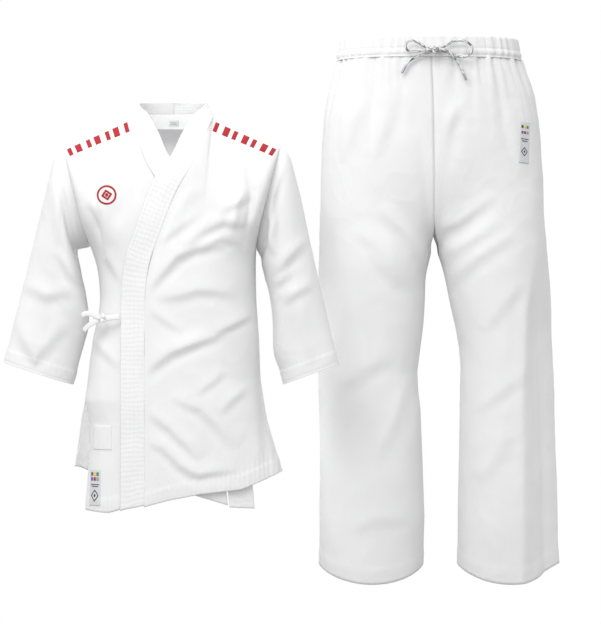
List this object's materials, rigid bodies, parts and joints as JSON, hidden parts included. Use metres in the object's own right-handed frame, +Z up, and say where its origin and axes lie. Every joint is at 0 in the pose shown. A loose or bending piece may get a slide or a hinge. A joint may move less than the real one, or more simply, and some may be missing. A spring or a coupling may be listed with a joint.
{
  "type": "martial arts uniform",
  "caption": "White cotton crossover jacket with wide sleeves, stitched lapels and side ties, beside elastic-waist drawstring trousers, both standing as if worn.",
  "frame": {"origin": "centre of the jacket neck opening at the base of the collar, where the jacket is hung from", "axes": "+Z up, the wearer faces -Y, the wearer left side is +X; the trousers stand beside the jacket on +X"},
  "size_m": [1.0718, 0.4106, 1.069],
  "materials": {
    "jacket_cloth": "matt woven cotton canvas",
    "trouser_cloth": "matt woven cotton canvas",
    "band_cloth": "several layers of cotton, stitched in rows",
    "hem_cloth": "turned hem with stitch rows",
    "embroidery": "satin embroidery thread",
    "woven_label": "woven label",
    "metal": "satin",
    "elastic": "covered elastic",
    "cord": "flat braided drawstring with dark flecks",
    "tie_tape": "folded and stitched cotton tape"
  },
  "bodies": {
    "jacket": {"back_panel": "jacket_cloth", "right_front_panel": "jacket_cloth", "left_chest_panel": "jacket_cloth", "collar_band": "band_cloth", "right_lapel_band": "band_cloth", "left_side_hem": "hem_cloth", "right_front_hem": "hem_cloth", "back_hem": "hem_cloth", "left_vent_patch": "band_cloth", "right_vent_patch": "band_cloth", "side_tie": "tie_tape", "tie_knot": "tie_tape", "side_tie_patch": "tie_tape", "inner_front_tie": "tie_tape", "inner_side_tie": "tie_tape", "neck_label": "woven_label", "neck_tape": "band_cloth", "chest_emblem": "embroidery", "left_shoulder_marks": "embroidery", "right_shoulder_marks": "embroidery", "hem_label": "woven_label"},
    "left_sleeve": {"left_sleeve": "jacket_cloth", "left_cuff_hem": "hem_cloth"},
    "right_sleeve": {"right_sleeve": "jacket_cloth", "right_cuff_hem": "hem_cloth"},
    "left_front": {"left_front_flap": "jacket_cloth", "left_lapel_band": "band_cloth", "left_flap_hem": "hem_cloth", "outer_tie": "tie_tape"},
    "trousers": {"waist_casing": "trouser_cloth", "waist_elastic": "elastic", "waist_facing": "trouser_cloth", "hip_front": "trouser_cloth", "hip_back": "trouser_cloth", "crotch_gusset": "trouser_cloth", "drawstring_run": "cord", "drawstring_left": "cord", "drawstring_right": "cord", "drawstring_knot": "cord", "left_eyelet": "metal", "right_eyelet": "metal", "left_aglet": "metal", "right_aglet": "metal", "hip_label": "woven_label"},
    "left_leg": {"left_leg": "trouser_cloth", "left_leg_hem": "hem_cloth"},
    "right_leg": {"right_leg": "trouser_cloth", "right_leg_hem": "hem_cloth"}
  },
  "joints": [
    {"name": "left_sleeve_raise", "type": "hinge", "parent": "jacket", "child": "left_sleeve", "pos_m": [0.205, 0, -0.06], "axis": [0, -1, 0], "range_deg": [0, 45]},
    {"name": "right_sleeve_raise", "type": "hinge", "parent": "jacket", "child": "right_sleeve", "pos_m": [-0.205, 0, -0.06], "axis": [0, 1, 0], "range_deg": [0, 45]},
    {"name": "left_front_open", "type": "hinge", "parent": "jacket", "child": "left_front", "pos_m": [0.055, -0.119, -0.4], "axis": [0, 0, 1], "range_deg": [0, 110]},
    {"name": "trousers_lift", "type": "slide", "parent": "jacket", "child": "trousers", "axis": [0, 0, 1], "range_m": [0, 0.15]},
    {"name": "left_leg_spread", "type": "hinge", "parent": "trousers", "child": "left_leg", "pos_m": [0.72, 0.18, -0.1], "axis": [0, -1, 0], "range_deg": [0, 15]},
    {"name": "right_leg_spread", "type": "hinge", "parent": "trousers", "child": "right_leg", "pos_m": [0.284, 0.18, -0.1], "axis": [0, 1, 0], "range_deg": [0, 15]}
  ]
}
